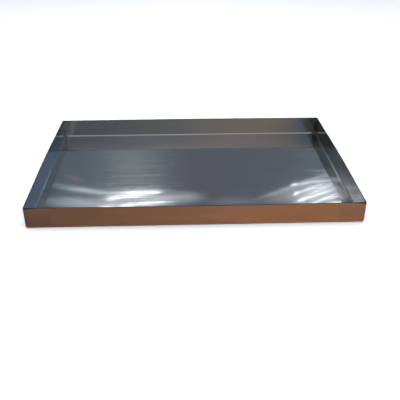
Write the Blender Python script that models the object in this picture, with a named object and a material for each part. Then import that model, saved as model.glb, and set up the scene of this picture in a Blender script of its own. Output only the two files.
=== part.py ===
"""Oil drain pan: a shallow stainless tray, folded from one cross-shaped blank and welded at its corners.

Run it with: blender --background --python part.py
Units are metres. +X runs along the long side, +Y along the short side and +Z up.
The origin is the middle of the underside, where the pan stands on the ground.

The pieces are the folded sheet, which is the floor and all four walls, and two welds at each corner:
the puddle that closes the bend relief at the bottom, and the seam that closes the corner above it.
"""

import math

import bmesh
import bpy

# Outside size of the pan, from corner to corner. The walls bow out a little between the corners,
# which the welds hold square.
LENGTH = 0.600
WIDTH = 0.400
HEIGHT = 0.040
SHORT_WALL_BOW = 0.0018  # at the middle of the rim
LONG_WALL_BOW = 0.002
BOW_STEPS = 8

# Sheet and press-brake bends.
SHEET = 0.0015
INSIDE_RADIUS = 0.002
NEUTRAL_SHARE = 0.44  # depth of the neutral fibre from the inside of a bend, as a share of the sheet
BEND_STEPS = 8

# Corners. The relief is the notch that keeps the two bends of a corner from tearing into each other.
RELIEF_CUT_BACK = 0.001  # how far the floor's corner is notched back from where the bends start
SEAM_SET_BACK = 0.00025  # how far each wall stops short of the inside face of its neighbour
WELD_CLEARANCE = 0.0003  # gap between a weld and the sheet, and between the two welds of a corner
WELD_STEPS = 8

# Finish.
SHEET_COLOUR = (0.50, 0.53, 0.57, 1.0)
SHEET_ROUGHNESS = 0.28
WELD_COLOUR = (0.38, 0.38, 0.40, 1.0)
WELD_ROUGHNESS = 0.42
SMOOTH_ANGLE = math.radians(30)

# Sizes that follow from the ones above.
OUTSIDE_RADIUS = INSIDE_RADIUS + SHEET
NEUTRAL_RADIUS = INSIDE_RADIUS + NEUTRAL_SHARE * SHEET
BEND_ALLOWANCE = NEUTRAL_RADIUS * math.pi / 2  # length of flat blank that one bend takes up
WALL_ABOVE_BEND = HEIGHT - OUTSIDE_RADIUS
HALF_SIDES = (LENGTH / 2, WIDTH / 2)
BOWS = (SHORT_WALL_BOW, LONG_WALL_BOW)
FLOOR_EDGES = tuple(half - OUTSIDE_RADIUS for half in HALF_SIDES)  # where the bends start
RELIEF_EDGES = tuple(edge - RELIEF_CUT_BACK for edge in FLOOR_EDGES)
WALL_ENDS = tuple(half - SHEET - SEAM_SET_BACK for half in HALF_SIDES)
SEAM_LEG = SHEET + SEAM_SET_BACK - WELD_CLEARANCE
RELIEF_REACH = OUTSIDE_RADIUS + RELIEF_CUT_BACK - WELD_CLEARANCE
RELIEF_TOP = OUTSIDE_RADIUS - WELD_CLEARANCE

CORNERS = {  # name: sign of x, sign of y, quarter turns from the back right corner
    "back_right": (1, 1, 0),
    "back_left": (-1, 1, 1),
    "front_left": (-1, -1, 2),
    "front_right": (1, -1, 3),
}


def clear_scene():
    for old in list(bpy.data.objects):
        bpy.data.objects.remove(old, do_unlink=True)


def bare_steel(name, colour, roughness):
    material = bpy.data.materials.new(name)
    material.use_nodes = True
    shader = material.node_tree.nodes["Principled BSDF"]
    shader.inputs["Base Color"].default_value = colour
    shader.inputs["Metallic"].default_value = 1.0
    shader.inputs["Roughness"].default_value = roughness
    return material


def finished_mesh(name, bm, material):
    """Turns a bmesh into a mesh whose round stretches are shaded smooth."""
    mesh = bpy.data.meshes.new(name)
    bm.to_mesh(mesh)
    bm.free()
    mesh.materials.append(material)
    mesh.shade_smooth()
    mesh.set_sharp_from_angle(angle=SMOOTH_ANGLE)
    return mesh


def add_object(name, mesh):
    piece = bpy.data.objects.new(name, mesh)
    bpy.context.scene.collection.objects.link(piece)
    return piece


# The folded sheet: laid out flat as a cross, given its thickness, and then folded.


def stations(edge):
    """Evenly spaced positions from one relief to the other, which the bow of a wall is worked out at."""
    return [edge * (2 * step / BOW_STEPS - 1) for step in range(BOW_STEPS + 1)]


def add_cells(bm, axis, along, across):
    """Adds a grid of flat cells. along is measured on the given axis and across on the other one."""
    for a0, a1 in zip(along, along[1:]):
        for b0, b1 in zip(across, across[1:]):
            cell = [(a0, b0), (a1, b0), (a1, b1), (a0, b1)]
            if axis == 1:
                cell = [(b, a) for a, b in cell]
            bm.faces.new([bm.verts.new((x, y, 0.0)) for x, y in cell])


def flat_blank(bm):
    """The blank as one layer of cells: a floor with notched corners, and four flaps."""
    add_cells(bm, 0, stations(RELIEF_EDGES[0]), stations(RELIEF_EDGES[1]))
    for axis in (0, 1):
        start = FLOOR_EDGES[axis]
        bend = [start + BEND_ALLOWANCE * step / BEND_STEPS for step in range(BEND_STEPS + 1)]
        wall = [start + BEND_ALLOWANCE, start + BEND_ALLOWANCE + WALL_ABOVE_BEND]
        between_reliefs = stations(RELIEF_EDGES[1 - axis])
        between_seams = [-WALL_ENDS[1 - axis], *between_reliefs, WALL_ENDS[1 - axis]]
        for side in (-1, 1):
            add_cells(bm, axis, [side * RELIEF_EDGES[axis], side * start], between_reliefs)
            add_cells(bm, axis, [side * value for value in bend], between_reliefs)
            add_cells(bm, axis, [side * value for value in wall], between_seams)
    bmesh.ops.remove_doubles(bm, verts=bm.verts, dist=WELD_CLEARANCE / 10)


def fold(point):
    """Moves a point of the blank to its place in the folded pan. The blank's top becomes the inside."""
    past_edges = [abs(point[axis]) - FLOOR_EDGES[axis] for axis in (0, 1)]
    past_edge = max(past_edges)
    if past_edge <= 0.0:
        return
    axis = past_edges.index(past_edge)
    angle = min(past_edge / BEND_ALLOWANCE, 1.0) * math.pi / 2
    up_wall = max(past_edge - BEND_ALLOWANCE, 0.0)
    along_wall = point[1 - axis] / HALF_SIDES[1 - axis]
    bow = BOWS[axis] * (1 - along_wall**2) ** 2 * up_wall / WALL_ABOVE_BEND
    radius = OUTSIDE_RADIUS - point.z
    point[axis] = math.copysign(FLOOR_EDGES[axis] + radius * math.sin(angle) + bow, point[axis])
    point.z = OUTSIDE_RADIUS - radius * math.cos(angle) + up_wall


def add_folded_pan():
    bm = bmesh.new()
    flat_blank(bm)
    grown = bmesh.ops.extrude_face_region(bm, geom=bm.faces[:], use_keep_orig=True)
    for part in grown["geom"]:
        if isinstance(part, bmesh.types.BMVert):
            part.co.z = SHEET
    bmesh.ops.recalc_face_normals(bm, faces=bm.faces)
    for vertex in bm.verts:
        fold(vertex.co)
    sheet_steel = bare_steel("stainless_sheet", SHEET_COLOUR, SHEET_ROUGHNESS)
    add_object("folded_pan", finished_mesh("folded_pan", bm, sheet_steel))


# The welds. Each is modelled for the back right corner, with its root on its own vertical axis.


def quarter_round(bm, radius, height):
    """One level of a corner weld: its root, then the arc that faces outwards."""
    level = [bm.verts.new((0.0, 0.0, height))]
    for step in range(WELD_STEPS + 1):
        angle = math.pi / 2 * step / WELD_STEPS
        level.append(bm.verts.new((radius * math.cos(angle), radius * math.sin(angle), height)))
    return level


def skin(bm, levels):
    """Joins levels with the same number of points into one closed body."""
    count = len(levels[0])
    for low, high in zip(levels, levels[1:]):
        for i in range(count):
            j = (i + 1) % count
            bm.faces.new([low[i], low[j], high[j], high[i]])
    bm.faces.new(levels[0][::-1])
    bm.faces.new(levels[-1])
    bmesh.ops.recalc_face_normals(bm, faces=bm.faces)


def seam_weld(weld_metal):
    """A bead with a quarter-round face, flush with both walls, from the relief up to the rim."""
    bm = bmesh.new()
    skin(bm, [quarter_round(bm, SEAM_LEG, OUTSIDE_RADIUS), quarter_round(bm, SEAM_LEG, HEIGHT)])
    return finished_mesh("seam_weld", bm, weld_metal)


def relief_weld(weld_metal):
    """A puddle shaped as a quarter of a bowl, which rounds off the pan's bottom corner."""
    bm = bmesh.new()
    top_angle = math.acos(1 - RELIEF_TOP / RELIEF_REACH)
    levels = []
    for step in range(1, WELD_STEPS + 1):
        angle = top_angle * step / WELD_STEPS
        height = RELIEF_REACH * (1 - math.cos(angle))
        levels.append(quarter_round(bm, RELIEF_REACH * math.sin(angle), height))
    skin(bm, levels)
    return finished_mesh("relief_weld", bm, weld_metal)


def add_corner_welds(kind, mesh, reach):
    """Puts one copy of a weld in each corner. reach is the distance from its root to the walls' outside."""
    for corner, (side_x, side_y, quarter_turns) in CORNERS.items():
        weld = add_object(f"{kind}_{corner}", mesh)
        weld.location.x = side_x * (HALF_SIDES[0] - reach)
        weld.location.y = side_y * (HALF_SIDES[1] - reach)
        weld.rotation_euler.z = quarter_turns * math.pi / 2


clear_scene()
add_folded_pan()
weld_metal = bare_steel("weld_metal", WELD_COLOUR, WELD_ROUGHNESS)
add_corner_welds("seam_weld", seam_weld(weld_metal), SEAM_LEG)
add_corner_welds("relief_weld", relief_weld(weld_metal), RELIEF_REACH)
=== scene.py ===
import math

import bmesh
import bpy
from mathutils import Matrix, Vector


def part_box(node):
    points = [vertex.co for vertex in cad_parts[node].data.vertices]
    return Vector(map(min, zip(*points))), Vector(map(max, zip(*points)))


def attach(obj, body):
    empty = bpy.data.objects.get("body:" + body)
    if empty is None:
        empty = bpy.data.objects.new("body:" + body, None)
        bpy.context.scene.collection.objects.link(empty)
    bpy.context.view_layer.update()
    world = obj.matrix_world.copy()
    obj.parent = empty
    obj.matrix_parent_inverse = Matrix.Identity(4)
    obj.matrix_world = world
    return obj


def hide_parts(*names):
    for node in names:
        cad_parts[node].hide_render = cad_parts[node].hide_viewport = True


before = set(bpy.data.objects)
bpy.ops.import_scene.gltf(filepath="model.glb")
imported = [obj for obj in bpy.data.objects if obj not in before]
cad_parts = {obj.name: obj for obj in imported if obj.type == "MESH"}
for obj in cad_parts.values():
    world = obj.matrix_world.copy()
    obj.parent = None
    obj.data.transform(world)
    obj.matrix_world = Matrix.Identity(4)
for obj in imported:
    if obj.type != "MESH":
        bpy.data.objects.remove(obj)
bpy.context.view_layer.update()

# Oil drain pan: one stainless sheet folded into a shallow tray, its four corners closed with weld.
# Metres, +X along the long side, +Y towards the back wall, +Z up, origin under the middle of the floor.

bpy.context.scene.view_settings.view_transform = "Standard"
seamLow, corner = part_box("seam_weld_back_right")  # corner is where the rim's outlines meet
seamFoot = seamLow.z
print("frame loaded, back right corner at", [round(v, 4) for v in corner])

hardEdge = 50  # degrees, edges sharper than this are rounded off


def deselectAll():
    if bpy.context.object and bpy.context.object.mode != "OBJECT":
        bpy.ops.object.mode_set(mode="OBJECT")
    bpy.ops.object.select_all(action="DESELECT")


def openPrimitive(name):  # names the primitive that was just added, puts it in place and opens it for editing
    bpy.ops.object.transform_apply(location=True, rotation=True, scale=True)
    piece = bpy.context.object
    piece.name = piece.data.name = name
    bpy.ops.object.mode_set(mode="EDIT")
    return piece


def pick(piece, kind, test):  # selects only the verts, edges or faces that pass the test
    bpy.ops.mesh.select_mode(type=kind)
    bpy.ops.mesh.select_all(action="DESELECT")
    bm = bmesh.from_edit_mesh(piece.data)
    for item in {"VERT": bm.verts, "EDGE": bm.edges, "FACE": bm.faces}[kind]:
        item.select_set(bool(test(item)))
    bm.select_flush_mode()
    bmesh.update_edit_mesh(piece.data)


def cutAcross(point, normal):  # one new edge loop right through the mesh
    bpy.ops.mesh.select_mode(type="FACE")
    bpy.ops.mesh.select_all(action="SELECT")
    bpy.ops.mesh.bisect(plane_co=point, plane_no=normal)


def applyModifier(piece, kind, **settings):
    modifier = piece.modifiers.new(kind.lower(), kind)
    for key, value in settings.items():
        setattr(modifier, key, value)
    bpy.context.view_layer.objects.active = piece
    bpy.ops.object.modifier_apply(modifier=modifier.name)


def roundOff(piece, width):
    limit = math.radians(hardEdge)
    applyModifier(piece, "BEVEL", width=width, segments=2, limit_method="ANGLE", angle_limit=limit)


def middle(edge):
    return (edge.verts[0].co + edge.verts[1].co) / 2


# lengths in metres
sheet = {
    "thickness": 0.0015,
    "outsideRadius": 0.0035,  # of the press-brake bends
    "bendSegments": 8,
    "relief": 0.0045,  # the notch in each corner of the blank
    "wallStop": 0.00175,  # how far a wall's end stays from its neighbour's outside face
    "longWallBow": 0.002,
    "shortWallBow": 0.0018,
    "crown": 0.0007,  # the floor stands this much proud at its middle
    "burr": 0.00022,
    "cell": 0.0125,
    "wallRows": 6,
    "aboveBend": 0.0001,
    "smoothAngle": 40,  # degrees
    "wallFacing": 0.7,  # how squarely a face looks sideways when it belongs to a wall
    "wallZone": 0.01,
}
tiny = 1e-5


def evenCuts(half, cell):
    count = round(2 * half / cell)
    return [half * (2 * i / count - 1) for i in range(1, count)]


def makeSheet(p):
    halfX, halfY, top = corner
    notchX, notchY = halfX - p["relief"], halfY - p["relief"]
    deselectAll()
    bpy.ops.mesh.primitive_plane_add(size=2)
    bpy.ops.transform.resize(value=(halfX, halfY, 1))
    pan = openPrimitive("panSheet")

    # notch the corners, then fold the four walls up
    for side in (-1, 1):
        cutAcross((side * notchX, 0, 0), (1, 0, 0))
        cutAcross((0, side * notchY, 0), (0, 1, 0))

    def inNotch(f):
        centre = f.calc_center_median()
        return abs(centre.x) > notchX and abs(centre.y) > notchY
    pick(pan, "FACE", inNotch)
    bpy.ops.mesh.delete(type="FACE")
    pick(pan, "EDGE", lambda e: abs(middle(e).x) > halfX - tiny or abs(middle(e).y) > halfY - tiny)
    bpy.ops.mesh.extrude_region_move(TRANSFORM_OT_translate={"value": (0, 0, top)})

    # above the bend each wall runs on to the seam in the corner
    cutAcross((0, 0, seamFoot + p["aboveBend"]), (0, 0, 1))
    for axis, notch in ((0, notchX), (1, notchY)):
        for side in (-1, 1):
            def wallEnd(e):
                tall = abs(e.verts[0].co.z - e.verts[1].co.z) > top / 2
                return tall and abs(middle(e)[axis] - side * notch) < tiny
            pick(pan, "EDGE", wallEnd)
            step = Vector((0, 0, 0))
            step[axis] = side * (p["relief"] - p["wallStop"])
            bpy.ops.mesh.extrude_region_move(TRANSFORM_OT_translate={"value": step})

    # the bends
    def bendLine(e):
        low = max(v.co.z for v in e.verts) < tiny
        return low and (abs(middle(e).x) > halfX - tiny or abs(middle(e).y) > halfY - tiny)
    pick(pan, "EDGE", bendLine)
    bpy.ops.mesh.bevel(offset=p["outsideRadius"], segments=p["bendSegments"], profile=0.5, affect="EDGES")

    # even cells, so that the bow of the walls and the crown of the floor come out smooth
    for x in evenCuts(notchX, p["cell"]):
        cutAcross((x, 0, 0), (1, 0, 0))
    for y in evenCuts(notchY, p["cell"]):
        cutAcross((0, y, 0), (0, 1, 0))
    for i in range(1, p["wallRows"]):
        cutAcross((0, 0, seamFoot + (top - seamFoot) * i / p["wallRows"]), (0, 0, 1))
    bpy.ops.mesh.select_all(action="SELECT")
    bpy.ops.mesh.normals_make_consistent(inside=False)
    bpy.ops.object.mode_set(mode="OBJECT")

    # welding holds the corners square and leaves the walls and the floor a little proud between them
    for v in pan.data.vertices:
        x, y, z = v.co
        up = max(z - p["outsideRadius"], 0) / (top - p["outsideRadius"])
        if up > 0 and abs(x) > halfX - tiny:
            v.co.x = math.copysign(halfX + p["shortWallBow"] * up * (1 - (y / halfY) ** 2) ** 2, x)
        elif up > 0:
            v.co.y = math.copysign(halfY + p["longWallBow"] * up * (1 - (x / halfX) ** 2) ** 2, y)
        elif z < tiny:
            v.co.z = p["crown"] * max(1 - (x / notchX) ** 2, 0) ** 2 * max(1 - (y / notchY) ** 2, 0) ** 2

    # the thickness goes inwards, the rim stays level
    floorFace = min(pan.data.polygons, key=lambda f: f.center.xy.length)
    if floorFace.normal.z > 0:
        pan.data.flip_normals()
    applyModifier(pan, "SOLIDIFY", thickness=p["thickness"], offset=-1, use_even_offset=True)
    for v in pan.data.vertices:
        if v.co.z > top - p["thickness"]:
            v.co.z = top
    roundOff(pan, p["burr"])
    bpy.ops.object.shade_smooth_by_angle(angle=math.radians(p["smoothAngle"]))
    applyModifier(pan, "WEIGHTED_NORMAL", keep_sharp=True)  # the walls stay flat up to the rim's soft edge
    print("folded sheet:", len(pan.data.polygons), "faces")
    return pan


# a UV map in metres on the flat blank, so that the grain follows the sheet round each bend
def unfoldedMap(piece, p):
    layer = piece.data.uv_layers.new(name="blank")
    for face in piece.data.polygons:
        for loop in face.loop_indices:
            x, y, z = piece.data.vertices[piece.data.loops[loop].vertex_index].co
            up = z if z > p["outsideRadius"] else 0.0
            if abs(face.normal.x) > p["wallFacing"] and abs(x) > corner.x - p["wallZone"]:
                x += math.copysign(up, x)
            elif abs(face.normal.y) > p["wallFacing"] and abs(y) > corner.y - p["wallZone"]:
                y += math.copysign(up, y)
            layer.data[loop].uv = (x, y)


pan = makeSheet(sheet)
unfoldedMap(pan, sheet)
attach(pan, "root")
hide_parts("folded_pan")

seamBead = {
    "radius": 0.00125, "sides": 20, "ripple": 0.0011, "waist": 0.94,
    "softEdge": 0.0002, "belowRim": 0.0001, "smoothAngle": 60,
}
puddle = {"reach": 0.0058, "height": 0.0055, "round": 0.0027, "roundSegments": 6, "smoothAngle": 60}
cornerSides = {"back_right": (1, 1), "back_left": (-1, 1), "front_left": (-1, -1), "front_right": (1, -1)}


def makeSeam(p):
    height = corner.z - p["belowRim"] - seamFoot
    rings = round(height / p["ripple"])
    deselectAll()
    bpy.ops.mesh.primitive_cylinder_add(
        vertices=p["sides"], radius=p["radius"], depth=height,
        location=(corner.x - p["radius"], corner.y - p["radius"], seamFoot + height / 2),
    )
    bead = openPrimitive("seamWeld")
    for i in range(1, rings):
        cutAcross((0, 0, seamFoot + height * i / rings), (0, 0, 1))
    # every other ring is pulled in, which leaves the stacked ripples of a hand-fed bead
    for i in range(1, rings, 2):
        level = seamFoot + height * i / rings
        pick(bead, "VERT", lambda v: abs(v.co.z - level) < tiny)
        bpy.ops.transform.resize(value=(p["waist"], p["waist"], 1))
    bpy.ops.object.mode_set(mode="OBJECT")
    roundOff(bead, p["softEdge"])
    bpy.ops.object.shade_smooth_by_angle(angle=math.radians(p["smoothAngle"]))
    return bead


def makePuddle(p):
    deselectAll()
    bpy.ops.mesh.primitive_cube_add(
        size=1,
        location=(corner.x - p["reach"] / 2, corner.y - p["reach"] / 2, p["height"] / 2),
        scale=(p["reach"], p["reach"], p["height"]),
    )
    lump = openPrimitive("reliefWeld")
    bpy.ops.mesh.select_all(action="SELECT")
    bpy.ops.mesh.bevel(offset=p["round"], segments=p["roundSegments"], profile=0.5, affect="EDGES")
    bpy.ops.object.mode_set(mode="OBJECT")
    bpy.ops.object.shade_smooth_by_angle(angle=math.radians(p["smoothAngle"]))
    return lump


def copyToCorner(piece, name, sideX, sideY):
    copy = piece.copy()
    copy.data = piece.data.copy()
    copy.name = copy.data.name = name
    bpy.context.scene.collection.objects.link(copy)
    copy.data.transform(Matrix.Diagonal((sideX, sideY, 1, 1)))
    if sideX * sideY < 0:
        copy.data.flip_normals()
    return copy


welds = []
masters = ((makeSeam(seamBead), "seamWeld", "seam_weld_"), (makePuddle(puddle), "reliefWeld", "relief_weld_"))
for source, kind, node in masters:
    for where, (sideX, sideY) in cornerSides.items():
        weld = copyToCorner(source, kind + "." + where, sideX, sideY)
        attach(weld, "root")
        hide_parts(node + where)
        welds.append(weld)
    bpy.data.objects.remove(source)
print("corner welds:", len(welds))


def linear(code):  # sRGB hex to linear
    values = [int(code[i:i + 2], 16) / 255 for i in (1, 3, 5)]
    return tuple(v / 12.92 if v <= 0.04045 else ((v + 0.055) / 1.055) ** 2.4 for v in values) + (1.0,)


# adds a node, whose inputs are each a value or the output that is linked to them
def addNode(tree, kind, inputs=None, **settings):
    node = tree.nodes.new("ShaderNode" + kind)
    for name, value in settings.items():
        setattr(node, name, value)
    for socket, value in (inputs or {}).items():
        if isinstance(value, bpy.types.NodeSocket):
            tree.links.new(value, node.inputs[socket])
        else:
            node.inputs[socket].default_value = value
    return node


def span(first, ends):  # two neighbouring inputs, numbered from the first
    return {first: ends[0], first + 1: ends[1]}


def newMaterial(name):
    material = bpy.data.materials.new(name)
    material.use_nodes = True
    return material, material.node_tree, material.node_tree.nodes["Principled BSDF"]


# Cold-rolled stainless sheet, bright annealed. Between the faint lines of the rolls it is nearly a mirror,
# and the lines lay a haze over it. The welded corners were dressed with a belt, which left them duller,
# and heat left a straw and then a blue tint close to the weld.
steel = {
    "colour": "#C9C8C7",
    "dressedColour": "#C2BFBB",
    "strawTint": "#9A8C76",
    # the blue heat tint, also the colour of the painted shade under the rim
    "blueTintAndRimShade": "#4A4C58",
    "brightRoughness": 0.036,
    "hazyRoughness": 0.19,
    "insideRoughness": 0.06,  # of the walls
    "outsideRoughness": 0.15,  # rubbed down with the welds
    "dressedRoughness": 0.27,
    "edgeColour": "#55524E",
    "edgeRoughness": 0.5,
    "anisotropy": 0.4,
    "beltReach": 0.046,
    "beltFade": 0.003,
    "rollLine": 0.0011,  # real lines are a tenth of this apart, too fine to show
    "rollLineLength": 0.2,
    "hazyShare": (0.54, 0.60),  # the noise values between which a line goes from bright to hazy
    "wave": 0.14,
    "waveDepth": 0.00010,
    "lineDepth": 0.0000004,
    "smear": 0.09,
    "smearNoise": (0.35, 0.7),
    "smearHaze": (0.8, 1.25),  # what the haze is multiplied by
    "wallFade": (0.003, 0.005),  # the heights between which the floor's finish gives way to the walls'
    "outsideFade": (0.02, 0.06),
    "edgeFade": (0.0004, 0.00025),  # below the rim
    "tintReach": 0.011,
    "otherCorners": 0.06,  # the share of the tint that is left in them
    "middleFade": 0.01,
    "tintFade": (0.5, 0.75),  # shares of the height
    "highTint": 0.12,
    # the painted shade under the rim at the corners
    "rimShadeLength": 0.036,
    "rimShadeWidth": 0.0032,
    "rimShadeFade": (1.1, 0.7),
    "rimShadeDepth": 0.8,
}


def stainlessSheet(p):
    material, tree, shader = newMaterial("bright annealed stainless steel")
    place = addNode(tree, "TexCoord").outputs["Object"]
    blank = addNode(tree, "UVMap", uv_map="blank").outputs[0]
    x, y, z = addNode(tree, "SeparateXYZ", {0: place}).outputs

    # distance from the nearest upright corner, along x and along y, both negative inside the outline
    sizeX = addNode(tree, "Math", {0: x}, operation="ABSOLUTE").outputs[0]
    sizeY = addNode(tree, "Math", {0: y}, operation="ABSOLUTE").outputs[0]
    fromEndX = addNode(tree, "Math", {0: sizeX, 1: corner.x}, operation="SUBTRACT").outputs[0]
    fromEndY = addNode(tree, "Math", {0: sizeY, 1: corner.y}, operation="SUBTRACT").outputs[0]
    beltEdge = {1: -p["beltReach"] - p["beltFade"], 2: -p["beltReach"] + p["beltFade"]}
    nearX = addNode(tree, "MapRange", {0: fromEndX, **beltEdge}, interpolation_type="SMOOTHSTEP").outputs[0]
    nearY = addNode(tree, "MapRange", {0: fromEndY, **beltEdge}, interpolation_type="SMOOTHSTEP").outputs[0]
    wallFade = span(1, p["wallFade"])
    onWall = addNode(tree, "MapRange", {0: z, **wallFade}, interpolation_type="SMOOTHSTEP").outputs[0]
    nearBoth = addNode(tree, "Math", {0: nearX, 1: nearY}, operation="MULTIPLY").outputs[0]

    # which way the sheet faces: outwards from the middle of the pan, or inwards
    normal = addNode(tree, "NewGeometry").outputs["Normal"]
    fromMiddle = addNode(tree, "VectorMath", {0: place, 1: (1, 1, 0)}, operation="MULTIPLY").outputs[0]
    facing = addNode(tree, "VectorMath", {0: normal, 1: fromMiddle}, operation="DOT_PRODUCT").outputs["Value"]
    outside = addNode(tree, "MapRange", {0: facing, **span(1, p["outsideFade"])}).outputs[0]
    onOutside = addNode(tree, "Math", {0: onWall, 1: outside}, operation="MULTIPLY").outputs[0]
    dressed = addNode(tree, "Math", {0: nearBoth, 1: onOutside}, operation="MULTIPLY").outputs[0]

    # the lines of the rolls run along the blank
    lineScale = (1 / p["rollLineLength"], 1 / p["rollLine"], 1)
    alongBlank = addNode(tree, "Mapping", {0: blank, 3: lineScale}).outputs[0]
    rollLines = addNode(tree, "TexNoise", {0: alongBlank, 2: 1.0, 3: 2.0}).outputs[0]
    hazy = addNode(tree, "MapRange", {0: rollLines, **span(1, p["hazyShare"])}).outputs[0]

    # smears left by handling shift the haze a little
    smears = addNode(tree, "TexNoise", {0: blank, 2: 1 / p["smear"], 3: 4.0}).outputs[0]
    smearing = {**span(1, p["smearNoise"]), **span(3, p["smearHaze"])}
    smeared = addNode(tree, "MapRange", {0: smears, **smearing}).outputs[0]
    haze = addNode(tree, "Math", {0: hazy, 1: smeared}, operation="MULTIPLY").outputs[0]
    brightToHazy = span(3, (p["brightRoughness"], p["hazyRoughness"]))
    sheetRoughness = addNode(tree, "MapRange", {0: haze, **brightToHazy}).outputs[0]
    inner = addNode(tree, "Mix", {0: onWall, 2: sheetRoughness, 3: p["insideRoughness"]}).outputs[0]
    rubbed = addNode(tree, "Mix", {0: onOutside, 2: inner, 3: p["outsideRoughness"]}).outputs[0]
    belted = addNode(tree, "Mix", {0: dressed, 2: rubbed, 3: p["dressedRoughness"]}).outputs[0]

    # the rim is the edge that the shear left, matt and darker
    edgeFade = span(1, [corner.z - depth for depth in p["edgeFade"]])
    cutEdge = addNode(tree, "MapRange", {0: z, **edgeFade}).outputs[0]
    roughness = addNode(tree, "Mix", {0: cutEdge, 2: belted, 3: p["edgeRoughness"]}).outputs[0]

    # long waves in the sheet bend what it mirrors
    waves = addNode(tree, "TexNoise", {0: blank, 2: 1 / p["wave"], 3: 1.0}).outputs[0]
    waveHeight = addNode(tree, "Math", {0: waves, 1: p["waveDepth"]}, operation="MULTIPLY").outputs[0]
    linesOnWaves = {0: rollLines, 1: p["lineDepth"], 2: waveHeight}
    height = addNode(tree, "Math", linesOnWaves, operation="MULTIPLY_ADD").outputs[0]
    bump = addNode(tree, "Bump", {"Strength": 1.0, "Distance": 1.0, "Height": height}).outputs[0]

    # heat tint, strongest low in the back right corner, where it wasn't cleaned off
    cornerDistance = addNode(tree, "CombineXYZ", {0: fromEndX, 1: fromEndY}).outputs[0]
    reach = addNode(tree, "VectorMath", {0: cornerDistance}, operation="LENGTH").outputs["Value"]
    straw = addNode(tree, "MapRange", {0: reach, 1: p["tintReach"], 2: p["tintReach"] / 2}).outputs[0]
    blue = addNode(tree, "MapRange", {0: reach, 1: p["tintReach"] / 2, 2: p["tintReach"] / 4}).outputs[0]
    across = addNode(tree, "Math", {0: x, 1: y}, operation="MINIMUM").outputs[0]
    middleFade = {1: -p["middleFade"], 2: p["middleFade"], 3: p["otherCorners"]}
    backRight = addNode(tree, "MapRange", {0: across, **middleFade}).outputs[0]
    tintFade = span(1, [share * corner.z for share in p["tintFade"]])
    low = addNode(tree, "MapRange", {0: z, **tintFade, 3: 1.0, 4: p["highTint"]}).outputs[0]
    uncleaned = addNode(tree, "Math", {0: backRight, 1: low}, operation="MULTIPLY").outputs[0]
    strawShare = addNode(tree, "Math", {0: straw, 1: uncleaned}, operation="MULTIPLY").outputs[0]
    blueShare = addNode(tree, "Math", {0: blue, 1: uncleaned}, operation="MULTIPLY").outputs[0]
    bare, belt, edge = linear(p["colour"]), linear(p["dressedColour"]), linear(p["edgeColour"])
    strawTint, blueTintAndRimShade = linear(p["strawTint"]), linear(p["blueTintAndRimShade"])
    clean = addNode(tree, "Mix", {0: dressed, 6: bare, 7: belt}, data_type="RGBA").outputs[2]
    warm = addNode(tree, "Mix", {0: strawShare, 6: clean, 7: strawTint}, data_type="RGBA").outputs[2]
    dark = addNode(tree, "Mix", {0: blueShare, 6: warm, 7: blueTintAndRimShade}, data_type="RGBA").outputs[2]

    # painted shade: a thin dark wedge under the rim in the blue tint's colour, widest at the corner
    underRim = addNode(tree, "Math", {0: corner.z, 1: z}, operation="SUBTRACT").outputs[0]
    wedgeWidth = addNode(tree, "Math", {0: underRim, 1: p["rimShadeWidth"]}, operation="DIVIDE").outputs[0]
    wedgeLength = {0: reach, 1: 1 / p["rimShadeLength"], 2: wedgeWidth}
    wedge = addNode(tree, "Math", wedgeLength, operation="MULTIPLY_ADD").outputs[0]
    paintedRimShade = addNode(tree, "MapRange", {0: wedge, **span(1, p["rimShadeFade"]), 4: p["rimShadeDepth"]}).outputs[0]
    withRimShade = addNode(tree, "Mix", {0: paintedRimShade, 6: dark, 7: blueTintAndRimShade}, data_type="RGBA").outputs[2]
    colour = addNode(tree, "Mix", {0: cutEdge, 6: withRimShade, 7: edge}, data_type="RGBA").outputs[2]

    tangent = addNode(tree, "Tangent", direction_type="UV_MAP", uv_map="blank").outputs[0]
    shader.inputs["Metallic"].default_value = 1.0
    shader.inputs["Anisotropic"].default_value = p["anisotropy"]
    shader.inputs["Anisotropic Rotation"].default_value = 0.25  # a lobe spreads across the roll lines
    tree.links.new(tangent, shader.inputs["Tangent"])
    tree.links.new(colour, shader.inputs["Base Color"])
    tree.links.new(roughness, shader.inputs["Roughness"])
    tree.links.new(bump, shader.inputs["Normal"])
    return material


# Stainless filler metal, TIG welded and brushed: satin, with ripples a millimetre apart, grey oxide left in
# the hollows and a straw edge.
filler = {
    "colour": "#B4B0AA",
    "oxide": "#6E6A66",
    "straw": "#A89070",
    "roughness": (0.26, 0.48),
    "ripple": seamBead["ripple"],
    "rippleDepth": 0.00006,
    "rippleShare": 0.5,  # of the ripples against the grain
    "grain": 0.0007,
    "grainNoise": (0.3, 0.7),
    "patch": 0.0044,
    "strawNoise": (0.45, 0.7),
}


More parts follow.
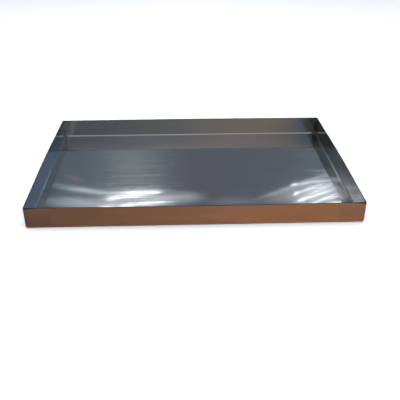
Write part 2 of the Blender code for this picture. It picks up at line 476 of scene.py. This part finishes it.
def weldMetal(p):
    material, tree, shader = newMaterial("brushed stainless weld")
    place = addNode(tree, "TexCoord").outputs["Object"]
    z = addNode(tree, "SeparateXYZ", {0: place}).outputs[2]
    grain = addNode(tree, "TexNoise", {0: place, 2: 1 / p["grain"], 3: 3.0}).outputs[0]
    patches = addNode(tree, "TexNoise", {0: place, 2: 1 / p["patch"], 3: 2.0}).outputs[0]
    phase = addNode(tree, "Math", {0: z, 1: math.pi / p["ripple"]}, operation="MULTIPLY").outputs[0]
    ripple = addNode(tree, "Math", {0: phase}, operation="SINE").outputs[0]
    hollow = addNode(tree, "MapRange", {0: ripple, 1: -1.0, 2: 1.0, 3: 1.0, 4: 0.0}).outputs[0]
    oxide = addNode(tree, "Math", {0: hollow, 1: patches}, operation="MULTIPLY").outputs[0]
    straw = addNode(tree, "MapRange", {0: patches, **span(1, p["strawNoise"])}).outputs[0]
    bare, strawTone, oxideTone = (linear(p[key]) for key in ("colour", "straw", "oxide"))
    warm = addNode(tree, "Mix", {0: straw, 6: bare, 7: strawTone}, data_type="RGBA").outputs[2]
    colour = addNode(tree, "Mix", {0: oxide, 6: warm, 7: oxideTone}, data_type="RGBA").outputs[2]
    smoothToCoarse = {**span(1, p["grainNoise"]), **span(3, p["roughness"])}
    rough = addNode(tree, "MapRange", {0: grain, **smoothToCoarse}).outputs[0]
    ripplesOnGrain = {0: ripple, 1: p["rippleShare"], 2: grain}
    height = addNode(tree, "Math", ripplesOnGrain, operation="MULTIPLY_ADD").outputs[0]
    bump = addNode(tree, "Bump", {"Strength": 1.0, "Distance": p["rippleDepth"], "Height": height}).outputs[0]
    shader.inputs["Metallic"].default_value = 1.0
    tree.links.new(colour, shader.inputs["Base Color"])
    tree.links.new(rough, shader.inputs["Roughness"])
    tree.links.new(bump, shader.inputs["Normal"])
    return material


pan.data.materials.clear()
pan.data.materials.append(stainlessSheet(steel))
weldLook = weldMetal(filler)
for weld in welds:
    weld.data.materials.clear()
    weld.data.materials.append(weldLook)
print("materials done")


# The studio: a pale floor under a large soft light. A bright sheet shows little but what stands round it,
# so the room's tones, the glowing boards and the strip lights are there for the reflections alone; the boards
# are a painted reflection.


def onlyReflected(thing):
    thing.visible_camera = False
    thing.visible_diffuse = False
    thing.visible_shadow = False
    thing.visible_transmission = False


def stagePlane(name, material, size, **placement):
    deselectAll()
    bpy.ops.mesh.primitive_plane_add(size=size, **placement)
    plane = bpy.context.object
    plane.name = plane.data.name = name
    plane.data.materials.append(material)
    return plane


ground = {"size": 12, "floorDrop": 0.0004, "boardsDrop": 0.0003}  # a drop is how far it lies under the pan
paleFloor, _, shader = newMaterial("pale studio floor")
shader.inputs["Base Color"].default_value = linear("#E9E9E9")
shader.inputs["Roughness"].default_value = 1.0
shader.inputs["Specular IOR Level"].default_value = 0.0
studioFloor = stagePlane("studioFloor", paleFloor, ground["size"], location=(0, 0, -ground["floorDrop"]))
studioFloor.visible_glossy = False

boards = {
    "left": "#755748", "right": "#AC7B5B", "from": -0.34, "to": 0.10,
    "far": "#E2D8CE", "farFrom": 0.075, "farTo": 0.25,
    "grain": 0.05, "grainStretch": 0.15, "grainNoise": (0.3, 0.7), "grainSpread": 0.1,
}


# painted reflection: the boards glow with their own light instead of being lit, darker to the left and pale
# away from the pan
def glowingBoards(p):
    material, tree, _ = newMaterial("glowing boards")
    place = addNode(tree, "TexCoord").outputs["Object"]
    x, y, z = addNode(tree, "SeparateXYZ", {0: place}).outputs
    share = addNode(tree, "MapRange", {0: x, 1: p["from"], 2: p["to"]}).outputs[0]
    left, right, far = (linear(p[key]) for key in ("left", "right", "far"))
    near = addNode(tree, "Mix", {0: share, 6: left, 7: right}, data_type="RGBA").outputs[2]
    sizeX = addNode(tree, "Math", {0: x}, operation="ABSOLUTE").outputs[0]
    sizeY = addNode(tree, "Math", {0: y}, operation="ABSOLUTE").outputs[0]
    outX = addNode(tree, "Math", {0: sizeX, 1: corner.x}, operation="SUBTRACT").outputs[0]
    outY = addNode(tree, "Math", {0: sizeY, 1: corner.y}, operation="SUBTRACT").outputs[0]
    away = addNode(tree, "Math", {0: outX, 1: outY}, operation="MAXIMUM").outputs[0]
    farShare = addNode(tree, "MapRange", {0: away, 1: p["farFrom"], 2: p["farTo"]}).outputs[0]
    tone = addNode(tree, "Mix", {0: farShare, 6: near, 7: far}, data_type="RGBA").outputs[2]
    grainScale = (p["grainStretch"] / p["grain"], 1 / p["grain"], 1)
    alongBoards = addNode(tree, "Mapping", {0: place, 3: grainScale}).outputs[0]
    grain = addNode(tree, "TexNoise", {0: alongBoards, 2: 3.0, 3: 3.0}).outputs[0]
    spread = span(3, (1 - p["grainSpread"], 1 + p["grainSpread"]))
    strength = addNode(tree, "MapRange", {0: grain, **span(1, p["grainNoise"]), **spread}).outputs[0]
    glow = addNode(tree, "Emission", {0: tone, 1: strength}).outputs[0]
    tree.links.new(glow, tree.nodes["Material Output"].inputs["Surface"])
    return material


boardsUnder = (0, 0, -ground["boardsDrop"])
onlyReflected(stagePlane("glowingBoards", glowingBoards(boards), ground["size"], location=boardsUnder))

# Degrees round from the back of the pan, and the tone of the room there. A helper script that followed lines
# of sight off the sheet gave the angles of the sharp changes, the tones were then set by hand.
roomTones = {
    -179.9: (0.26, 0.27, 0.29), -172.5: (0.19, 0.205, 0.23),
    -168.5: (0.17, 0.18, 0.20), -166.8: (0.09, 0.10, 0.11), -163.5: (0.08, 0.09, 0.10),
    -120: (0.10, 0.105, 0.115), -60: (0.06, 0.067, 0.076), -30: (0.26, 0.29, 0.29),
    -21.6: (0.36, 0.40, 0.41), -20.6: (0.14, 0.17, 0.19), -19.6: (0.09, 0.11, 0.13),
    -18.6: (0.06, 0.075, 0.09), -15.2: (0.09, 0.11, 0.135), -13.9: (0.12, 0.165, 0.21),
    -11: (0.14, 0.18, 0.22), -8.8: (0.18, 0.215, 0.255), -6.3: (0.25, 0.29, 0.325),
    -4: (0.23, 0.265, 0.30), -1.8: (0.175, 0.20, 0.235), 1: (0.14, 0.155, 0.195),
    14: (0.145, 0.175, 0.21), 18: (0.16, 0.21, 0.29), 25: (0.19, 0.30, 0.46), 120: (0.26, 0.36, 0.50),
    150: (0.20, 0.27, 0.36), 163: (0.13, 0.22, 0.34), 166: (0.12, 0.17, 0.24),
    168: (0.27, 0.27, 0.28), 172: (0.40, 0.335, 0.29), 177.7: (0.32, 0.305, 0.30),
    179.9: (0.26, 0.27, 0.29),
}
overhead = (0.60, 0.62, 0.65)
backdrop = (0.9, 0.9, 0.9)  # what the camera sees past the floor
overheadFrom = 0.55  # the sine of the angle above level at which the room starts to turn into that
roof = {  # places on a sphere of radius one round the pan
    "ridgeX": 0.02, "middle": 0.505, "ends": 0.410, "halfWidth": 0.213, "fade": 0.0035, "gap": 0.235,
    "behind": (-0.5, -0.6),
    "skyMiddle": (0.52, 0.56, 0.60), "skySides": (0.32, 0.36, 0.41),
}


def makeRoom():
    world = bpy.data.worlds.new("studio")
    bpy.context.scene.world = world
    world.use_nodes = True
    tree = world.node_tree
    tree.nodes.clear()
    direction = addNode(tree, "TexCoord").outputs["Generated"]
    x, y, z = addNode(tree, "SeparateXYZ", {0: direction}).outputs
    azimuth = addNode(tree, "Math", {0: x, 1: y}, operation="ARCTAN2").outputs[0]
    turn = addNode(tree, "MapRange", {0: azimuth, 1: -math.pi, 2: math.pi}).outputs[0]
    horizon = addNode(tree, "ValToRGB", {0: turn})
    stops = horizon.color_ramp.elements
    stops.remove(stops[1])
    for degrees, tone in roomTones.items():
        stops.new((degrees + 180) / 360).color = (*tone, 1)
    stops.remove(stops[0])

    # behind the camera there is sky above a roof line that is highest in the middle
    fromRidge = addNode(tree, "Math", {0: x, 1: roof["ridgeX"]}, operation="SUBTRACT").outputs[0]
    aside = addNode(tree, "Math", {0: fromRidge}, operation="ABSOLUTE").outputs[0]
    slope = {1: 0.0, 2: roof["halfWidth"], 3: roof["middle"], 4: roof["ends"]}
    roofLine = addNode(tree, "MapRange", {0: aside, **slope}, interpolation_type="SMOOTHSTEP").outputs[0]
    aboveRoof = addNode(tree, "Math", {0: z, 1: roofLine}, operation="SUBTRACT").outputs[0]
    clearOfRoof = addNode(tree, "MapRange", {0: aboveRoof, 2: roof["fade"]}).outputs[0]
    behind = addNode(tree, "MapRange", {0: y, **span(1, roof["behind"])}).outputs[0]
    inGap = addNode(tree, "Math", {0: aside, 1: roof["gap"]}, operation="LESS_THAN").outputs[0]
    overRoof = addNode(tree, "Math", {0: clearOfRoof, 1: inGap}, operation="MULTIPLY").outputs[0]
    skyShare = addNode(tree, "Math", {0: overRoof, 1: behind}, operation="MULTIPLY").outputs[0]
    toSides = addNode(tree, "MapRange", {0: aside, 2: roof["halfWidth"]}).outputs[0]
    skyTones = {6: (*roof["skyMiddle"], 1), 7: (*roof["skySides"], 1)}
    openSky = addNode(tree, "Mix", {0: toSides, **skyTones}, data_type="RGBA").outputs[2]
    walls = horizon.outputs[0]
    around = addNode(tree, "Mix", {0: skyShare, 6: walls, 7: openSky}, data_type="RGBA").outputs[2]

    lift = addNode(tree, "MapRange", {0: z, 1: overheadFrom}, interpolation_type="SMOOTHSTEP").outputs[0]
    sky = addNode(tree, "Mix", {0: lift, 6: around, 7: (*overhead, 1)}, data_type="RGBA").outputs[2]
    seen = addNode(tree, "LightPath").outputs["Is Camera Ray"]
    shown = addNode(tree, "Mix", {0: seen, 6: sky, 7: (*backdrop, 1)}, data_type="RGBA").outputs[2]
    background = addNode(tree, "Background", {0: shown}).outputs[0]
    addNode(tree, "OutputWorld", {0: background})


softBox = {"size": 3.4, "height": 2.6, "power": 130}


def makeSoftBox(p):
    light = bpy.data.lights.new("softBox", "AREA")
    light.size = p["size"]
    light.energy = p["power"]
    box = bpy.data.objects.new("softBox", light)
    box.location = (0, 0, p["height"])
    box.visible_glossy = False
    bpy.context.scene.collection.objects.link(box)


view = {
    "azimuth": -2.24, "elevation": 30.07, "roll": 0.13,
    "distance": 1.0704, "target": (0.0096, -0.1122, 0.0), "lens": 50.43,
}
azimuth, elevation, roll = (math.radians(view[key]) for key in ("azimuth", "elevation", "roll"))
towardsEye = Vector((
    math.sin(azimuth) * math.cos(elevation),
    -math.cos(azimuth) * math.cos(elevation),
    math.sin(elevation),
))
eye = Vector(view["target"]) + towardsEye * view["distance"]

# Feathered strip lights behind the pan, on an upright sheet at this depth, which the eye finds mirrored in
# the floor. A helper script that followed lines of sight off the floor gave most of their places, which were
# then rounded and in part changed by hand. A row holds the centre across and up, the length, the height, the
# tilt in degrees, the brightness and the tone.
stripDepth = 1.5
leftDepth = 5.0  # the left ones then hang further back, at a larger scale
sheetSize = 8
sideGap = 0.002  # between the two sheets that stand edge-on to the camera
cool, blue, rosy, warmWhite = (0.94, 1.0, 1.04), (0.05, 0.40, 0.95), (1.0, 0.60, 0.58), (1.0, 0.95, 0.88)
leftStrips = {
    "core": (-0.28, 0.918, 0.44, 0.057, -4, 3.0, cool),
    "coreEnd": (-0.38, 0.932, 0.13, 0.028, 0, 2.8, cool),
    "topLine": (-0.26, 0.898, 0.50, 0.025, 1, 1.5, cool),
    "glint": (-0.166, 0.907, 0.10, 0.016, 0, 3.0, cool),
    "veil": (-0.205, 0.945, 0.38, 0.075, 0, 0.5, cool),
    "lowA": (-0.19, 0.973, 0.39, 0.028, 0, 3.6, cool),
    "lowB": (-0.32, 0.981, 0.16, 0.018, 0, 4.0, cool),
    "lowC": (-0.42, 0.981, 0.16, 0.016, 0, 3.5, cool),
    "band": (-0.50, 0.876, 0.57, 0.053, 14, 0.78, cool),
    "under": (-0.45, 0.966, 1.00, 0.126, 8, 0.55, cool),
    "faint": (-0.57, 0.930, 0.34, 0.014, 19, 0.25, cool),
    "rosy": (-0.57, 0.796, 0.18, 0.022, 28, 0.24, rosy),
    "tail": (-0.04, 0.949, 0.41, 0.110, 1, 0.50, cool),
    "middleEdge": (0.26, 0.978, 0.44, 0.088, 0, 0.14, cool),
}
rightStrips = {
    "edge": (0.600, 0.855, 0.80, 0.045, -24, 0.45, cool),
    "veil": (0.540, 0.920, 0.44, 0.140, -22, 0.30, cool),
    "glow": (0.700, 0.925, 0.50, 0.250, -25, 0.62, cool),
    "glintA": (0.568, 0.858, 0.06, 0.016, -14, 2.5, cool),
    "tailA": (0.660, 0.845, 0.30, 0.016, -9, 2.2, cool),
    "glintB": (0.583, 0.913, 0.055, 0.018, -26, 3.2, cool),
    "tailB": (0.655, 0.880, 0.30, 0.016, -25, 2.2, cool),
    "fineA": (0.720, 0.868, 0.20, 0.012, -20, 2.0, cool),
    "fineB": (0.690, 0.897, 0.26, 0.012, -24, 2.0, cool),
    "streakC": (0.680, 0.923, 0.34, 0.018, -22, 2.8, cool),
    "glintC": (0.615, 0.952, 0.08, 0.020, -22, 3.0, cool),
    "streakD": (0.727, 0.945, 0.26, 0.018, -27, 2.8, cool),
    "fineC": (0.780, 0.935, 0.14, 0.012, -27, 2.4, cool),
    "end": (0.785, 0.972, 0.16, 0.026, -12, 3.4, warmWhite),
}
leftWallStrips = {
    "fill": (-1.05, 0.50, 2.2, 1.0, 0, 0.085, blue),
    "cornerFill": (1.65, 0.74, 1.7, 0.5, 0, 0.18, blue),
}
rightWallStrips = {"shelf": (0.735, 0.483, 0.37, 0.13, -27, 0.60, cool)}


# a clear sheet, lit on its front by strips that fade out towards their edges
def hangStrips(name, strips, location, turn=0, scale=1):
    material, tree, _ = newMaterial(name)
    place = addNode(tree, "TexCoord").outputs["Object"]
    light = (0, 0, 0)
    for across, up, length, height, tilt, brightness, tone in strips.values():
        shape = {1: (across, up, 0), 2: (0, 0, math.radians(tilt)), 3: (length / 2, height / 2, 1)}
        inStrip = addNode(tree, "Mapping", {0: place, **shape}, vector_type="TEXTURE").outputs[0]
        reach = addNode(tree, "VectorMath", {0: inStrip}, operation="LENGTH").outputs["Value"]
        fade = {1: 1.0, 2: 0.0, 4: brightness}
        feather = addNode(tree, "MapRange", {0: reach, **fade}, interpolation_type="SMOOTHERSTEP").outputs[0]
        withThis = {0: feather, 1: tone, 2: light}
        light = addNode(tree, "VectorMath", withThis, operation="MULTIPLY_ADD").outputs[0]
    back = addNode(tree, "NewGeometry").outputs["Backfacing"]
    front = addNode(tree, "Math", {0: 1.0, 1: back}, operation="SUBTRACT").outputs[0]
    glow = addNode(tree, "Emission", {0: light, 1: front}).outputs[0]
    clear = addNode(tree, "BsdfTransparent").outputs[0]
    both = addNode(tree, "AddShader", {0: glow, 1: clear}).outputs[0]
    tree.links.new(both, tree.nodes["Material Output"].inputs["Surface"])
    upright = (math.pi / 2, 0, math.radians(turn))
    hung = stagePlane(name, material, sheetSize, location=location, rotation=upright)
    hung.scale = (scale, scale, 1)
    onlyReflected(hung)
    print(name, "has", len(strips), "strips")


# the place and scale at which a sheet further back looks all but the same in the floor
def pushBack(depth):
    scale = (depth - eye.y) / (stripDepth - eye.y)
    return (eye.x * (1 - scale), depth, eye.z * (scale - 1)), scale


makeRoom()
makeSoftBox(softBox)
location, scale = pushBack(leftDepth)
hangStrips("leftLights", leftStrips, location, scale=scale)
hangStrips("rightLights", rightStrips, (0, stripDepth, 0))
# edge-on to the camera, one for each short wall
hangStrips("leftWallLight", leftWallStrips, (eye.x, 0, 0), turn=-90)
hangStrips("rightWallLight", rightWallStrips, (eye.x - sideGap, 0, 0), turn=90)


def makeCamera():
    data = bpy.data.cameras.new("camera")
    data.sensor_width = 36
    data.lens = view["lens"]
    data.clip_start = 0.01
    camera = bpy.data.objects.new("camera", data)
    level = towardsEye.to_track_quat("Z", "Y").to_matrix().to_4x4()
    camera.matrix_world = Matrix.Translation(eye) @ level @ Matrix.Rotation(roll, 4, "Z")
    bpy.context.scene.collection.objects.link(camera)
    bpy.context.scene.camera = camera


makeCamera()
print("camera done")

bpy.context.view_layer.update()
